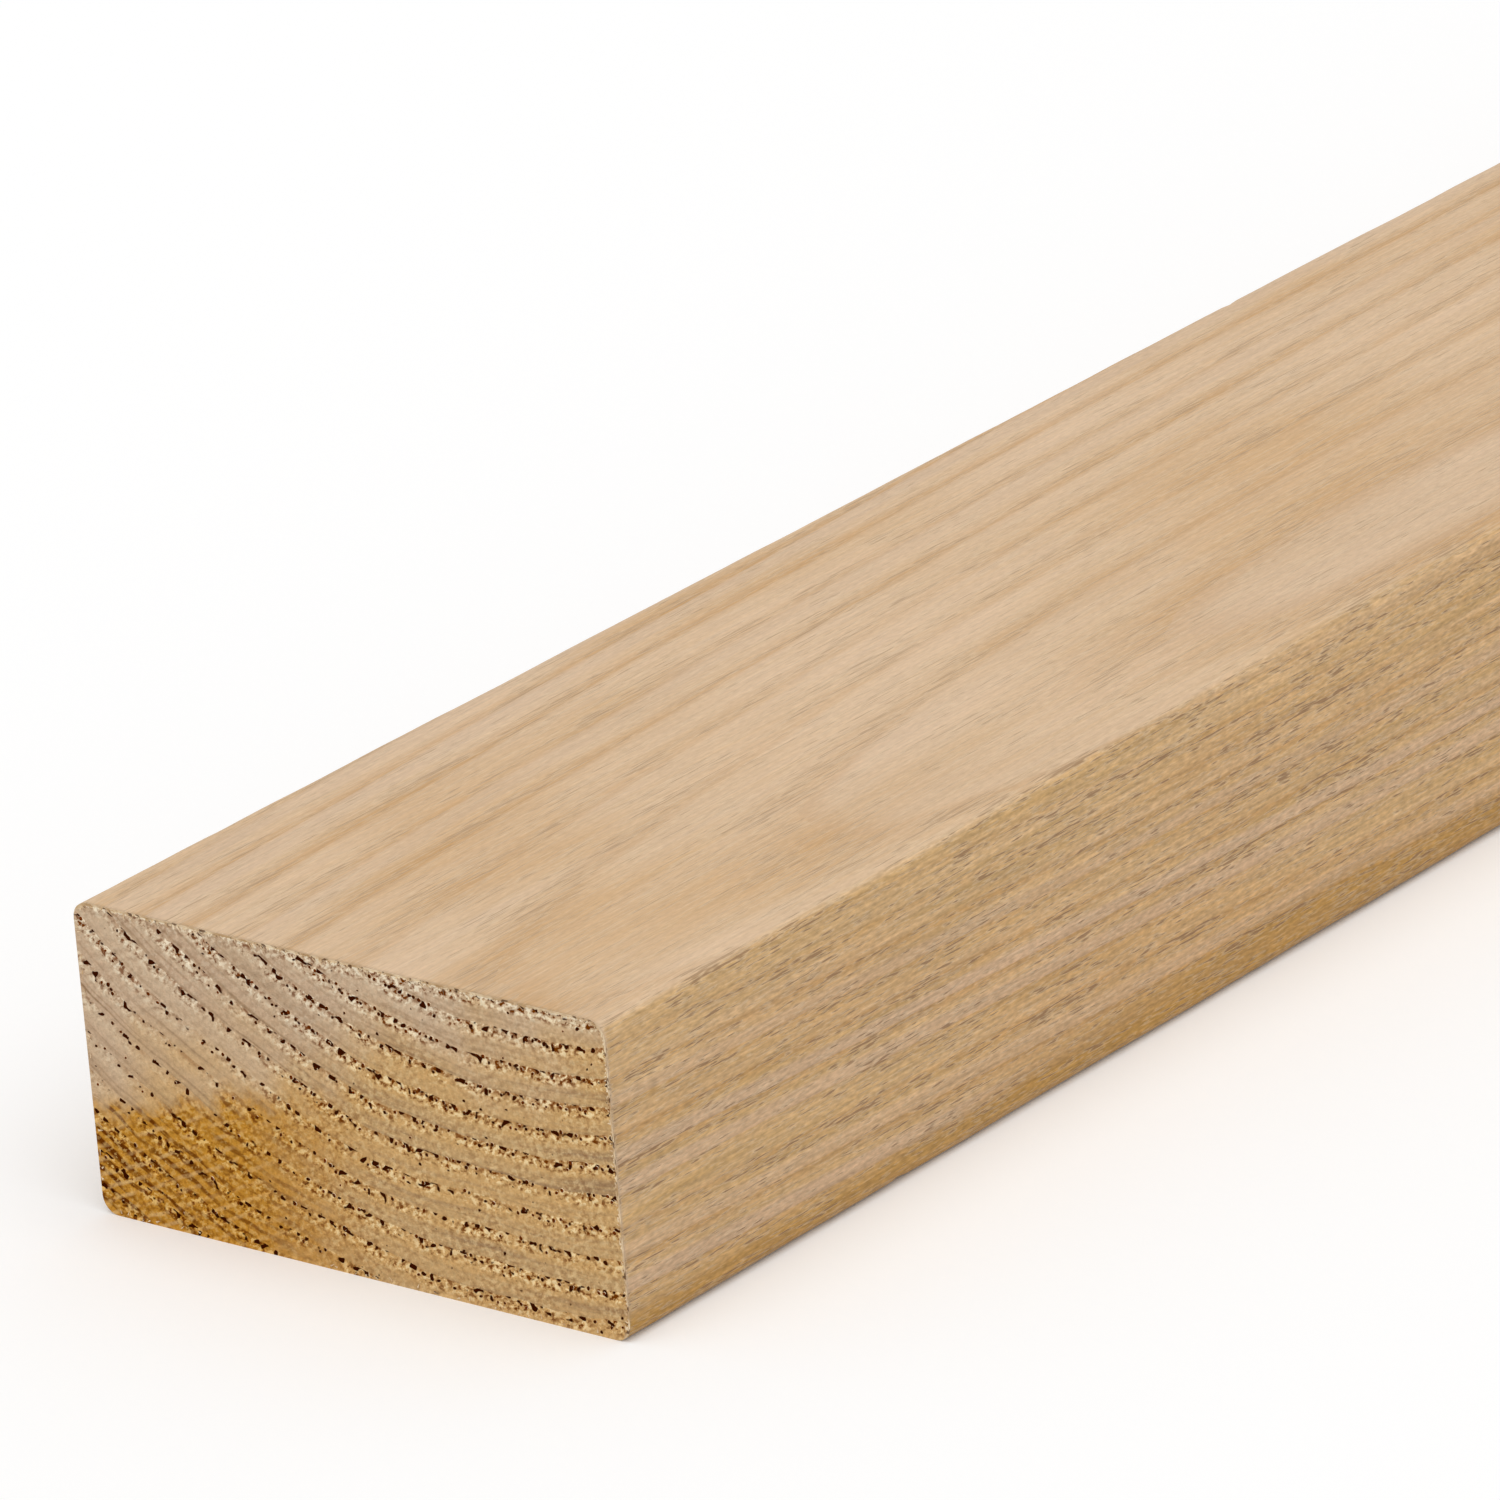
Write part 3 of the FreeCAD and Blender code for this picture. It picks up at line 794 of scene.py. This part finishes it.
# The inside of an open vessel: bare cell walls, dark brown, and darkened further as painted shade inside
# the pit.
vesselWall = {
    "roughness": 0.9,
    "ior": 1.45,
    "gloss": 0.0,
    "dark": "#331000",
    "light": "#74340a",
    "patches": 500.0,  # in a metre
}


def makeVesselWall():
    made, tree, add, shader = startMaterial("openVesselWall", vesselWall)
    objectPlace = add("ShaderNodeTexCoord").outputs["Object"]
    varied = add("ShaderNodeTexNoise", objectPlace, named={"Scale": vesselWall["patches"], "Detail": 1.0})
    varied = add("ShaderNodeMapRange", varied, 0.38, 0.68, 0.0, 1.0)
    wall = add("ShaderNodeMix", varied, vesselWall["dark"], vesselWall["light"], data_type="RGBA")
    tree.links.new(wall.outputs[2], shader.inputs["Base Color"])
    return made


# Fibres and rims lifted by the saw: thin and dry, so they are paler than the wood behind them. Here and
# there one broke away and left a small pit, shown as a dark spot of painted shade.
tornFibre = {
    "roughness": 0.8,
    "ior": 1.45,
    "gloss": 0.15,
    "dull": "#cfac80",
    "pale": "#fae4c0",
    # painted shade of a small pit
    "pitShade": "#5a3312",
    "patches": 500.0,  # in a metre
    "pitShadeCount": 900.0,
}


def makeTornFibre():
    made, tree, add, shader = startMaterial("tornFibre", tornFibre)
    objectPlace = add("ShaderNodeTexCoord").outputs["Object"]
    varied = add("ShaderNodeTexNoise", objectPlace, named={"Scale": tornFibre["patches"], "Detail": 2.0})
    paleness = add("ShaderNodeMapRange", varied, 0.35, 0.65, 0.0, 1.0)
    fibre = add("ShaderNodeMix", paleness, tornFibre["dull"], tornFibre["pale"], data_type="RGBA")
    pitShade = add("ShaderNodeTexNoise", objectPlace, named={"Scale": tornFibre["pitShadeCount"], "Detail": 1.0})
    pitShade = add("ShaderNodeMapRange", pitShade, 0.6, 0.66, 0.0, 0.85)
    fibre = add("ShaderNodeMix", pitShade, fibre, tornFibre["pitShade"], data_type="RGBA")
    tree.links.new(fibre.outputs[2], shader.inputs["Base Color"])
    return made


# Where each face lies on the stick's map: four strips with the grain running across the map, and the two
# ends below them. The map is finer across the grain than along it, as the wood is.
stickMap = {
    "size": 1024.0,  # units over the whole map
    "gap": 5.0,
    "alongScale": 0.418,  # units to a mm
    "acrossScale": 2.9,
    "endScale": 4.4,
}


def mapStick(made):
    mesh = made.data
    layer = mesh.uv_layers.new(name="OFBake")
    gap, size = stickMap["gap"], stickMap["size"]
    along, across, end = stickMap["alongScale"], stickMap["acrossScale"], stickMap["endScale"]
    wide, narrow = stickWidth * 1000 * across, stickThickness * 1000 * across
    rows = {}
    nextRow = gap
    for strip, height in (("top", wide), ("under", wide), ("front", narrow), ("back", narrow)):
        rows[strip] = nextRow
        nextRow += height + gap
    for face in mesh.polygons:
        reach = [abs(part) for part in face.normal]
        onEnd = face.material_index > 0
        for corner in face.loop_indices:
            x, y, z = (mesh.vertices[mesh.loops[corner].vertex_index].co - low) * 1000
            if onEnd:
                farEnd = x > stickLength * 500
                spot = gap + y * end + (stickWidth * 1000 * end + gap) * farEnd, nextRow + z * end
            elif reach[2] > reach[1]:
                spot = gap + x * along, rows["top" if face.normal.z > 0 else "under"] + y * across
            else:
                spot = gap + x * along, rows["back" if face.normal.y > 0 else "front"] + z * across
            layer.data[corner].uv = spot[0] / size, spot[1] / size


finishes = [makePlanedHardwood(), makeSawnEndGrain(), makeVesselWall(), makeTornFibre()]
print("materials:", ", ".join(finish.name for finish in finishes))
piece = makeStick(finishes)
mapStick(piece)
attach(piece, "root")
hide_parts("timber")
print("stick:", len(piece.data.vertices), "points,", len(piece.data.polygons), "faces")


# Studio: a pale floor that runs out of sight, even white surroundings and one wide soft lamp overhead.
studio = {
    "floorSize": 120.0,  # m
    "floor": "#e6e6e6",  # as the stick sees it
    "floorGlow": 0.04,  # added for the camera, so that bare floor is white
    "surroundings": 0.6,
    "lamp": 1.25,
    "lampSpread": 70.0,  # degrees
    "lampFrom": (-0.35, -0.3, 1.0),
}


# Gives the node that is 1 where the camera, a gloss or a glass looks straight at a surface, and else 0.
def seenDirectly(add):
    lightPath = add("ShaderNodeLightPath").outputs
    seen = lightPath["Is Camera Ray"]
    for kind in ("Is Glossy Ray", "Is Transmission Ray"):
        seen = add("ShaderNodeMath", seen, lightPath[kind], operation="MAXIMUM")
    return seen


def makeStudio():
    half = studio["floorSize"] / 2
    mesh = bpy.data.meshes.new("studioFloor")
    corners = [(x * half, y * half, low.z) for x, y in ((-1, -1), (1, -1), (1, 1), (-1, 1))]
    mesh.from_pydata(corners, [], [(0, 1, 2, 3)])
    floor = bpy.data.objects.new("studioFloor", mesh)
    bpy.context.scene.collection.objects.link(floor)
    paint = bpy.data.materials.new("paleFloor")
    paint.use_nodes = True
    paint.node_tree.nodes.clear()
    add = partial(addNode, paint.node_tree)
    colour = add("ShaderNodeMix", seenDirectly(add), studio["floor"], (1, 1, 1, 1), data_type="RGBA")
    matt = add("ShaderNodeBsdfDiffuse", colour)
    seen = add("ShaderNodeMath", seenDirectly(add), studio["floorGlow"], operation="MULTIPLY")
    glow = add("ShaderNodeEmission", (1, 1, 1, 1), seen)
    both = add("ShaderNodeAddShader")
    for index, part in enumerate((matt, glow)):
        paint.node_tree.links.new(part.outputs[0], both.inputs[index])
    add("ShaderNodeOutputMaterial", both)
    mesh.materials.append(paint)

    world = bpy.data.worlds.new("studioWorld")
    bpy.context.scene.world = world
    world.use_nodes = True
    world.node_tree.nodes.clear()
    add = partial(addNode, world.node_tree)
    level = add("ShaderNodeMapRange", seenDirectly(add), 0.0, 1.0, studio["surroundings"], 1.0)
    sky = add("ShaderNodeBackground", (1, 1, 1, 1), level)
    add("ShaderNodeOutputWorld", sky)

    lamp = bpy.data.lights.new("overheadLamp", "SUN")
    lamp.energy = studio["lamp"]
    lamp.angle = math.radians(studio["lampSpread"])
    held = bpy.data.objects.new("overheadLamp", lamp)
    held.rotation_euler = Vector(studio["lampFrom"]).to_track_quat("Z", "Y").to_euler()
    bpy.context.scene.collection.objects.link(held)
    bpy.context.scene.view_settings.view_transform = "Standard"


makeStudio()
makeCamera()
print("studio and camera set")
